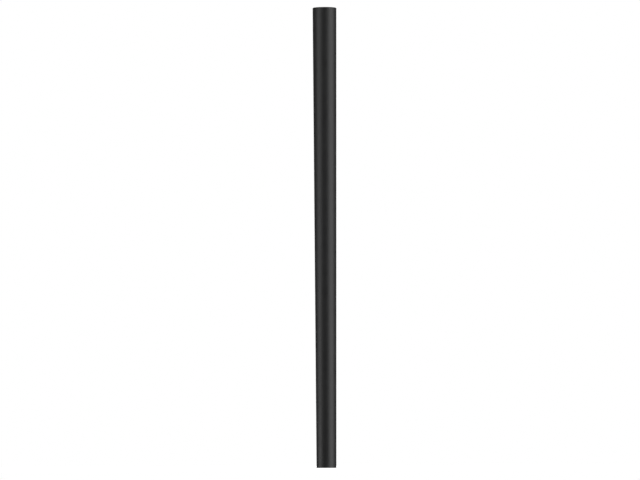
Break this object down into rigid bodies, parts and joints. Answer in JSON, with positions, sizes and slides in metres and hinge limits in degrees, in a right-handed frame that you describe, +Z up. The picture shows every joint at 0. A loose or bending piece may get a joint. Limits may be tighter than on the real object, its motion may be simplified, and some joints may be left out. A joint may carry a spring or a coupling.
{
  "type": "customer display pole",
  "caption": "Tapered black pole with a turning socket in its top for a display's neck, a lined cable slot in its foot and tapped holes for a base.",
  "frame": {"origin": "centre of the foot, midway between the tapped holes, on the face that meets the base", "axes": "+Z up along the pole, -Y to the front that faces the customer, +Y to the rear where the set screws are"},
  "size_m": [0.03, 0.03, 0.58],
  "materials": {
    "black_paint": "satin black paint on steel",
    "black_acetal": "turned acetal, satin",
    "black_anodised": "turned and anodised black, satin",
    "black_rubber": "moulded nitrile rubber, matt",
    "black_oxide_steel": "black oxide, lightly oiled",
    "turned_aluminium": "turned, uncoated",
    "black_nylon": "moulded nylon, fine matt grain"
  },
  "bodies": {
    "mast": {"mast_tube": "black_paint", "top_bearing": "black_acetal", "stop_screw": "black_oxide_steel", "base_insert": "turned_aluminium", "insert_screw": "black_oxide_steel", "cable_bush": "black_nylon"},
    "swivel": {"neck_socket": "black_anodised", "friction_rings": "black_rubber"},
    "neck_screw": {"neck_screw": "black_oxide_steel"}
  },
  "joints": [
    {"name": "display_swivel", "type": "hinge", "parent": "mast", "child": "swivel", "pos_m": [0, 0, 0.563], "axis": [0, 0, 1], "range_deg": [-165, 165]},
    {"name": "neck_screw_travel", "type": "slide", "parent": "swivel", "child": "neck_screw", "axis": [0, -1, 0], "range_m": [0, 0.0012]}
  ]
}
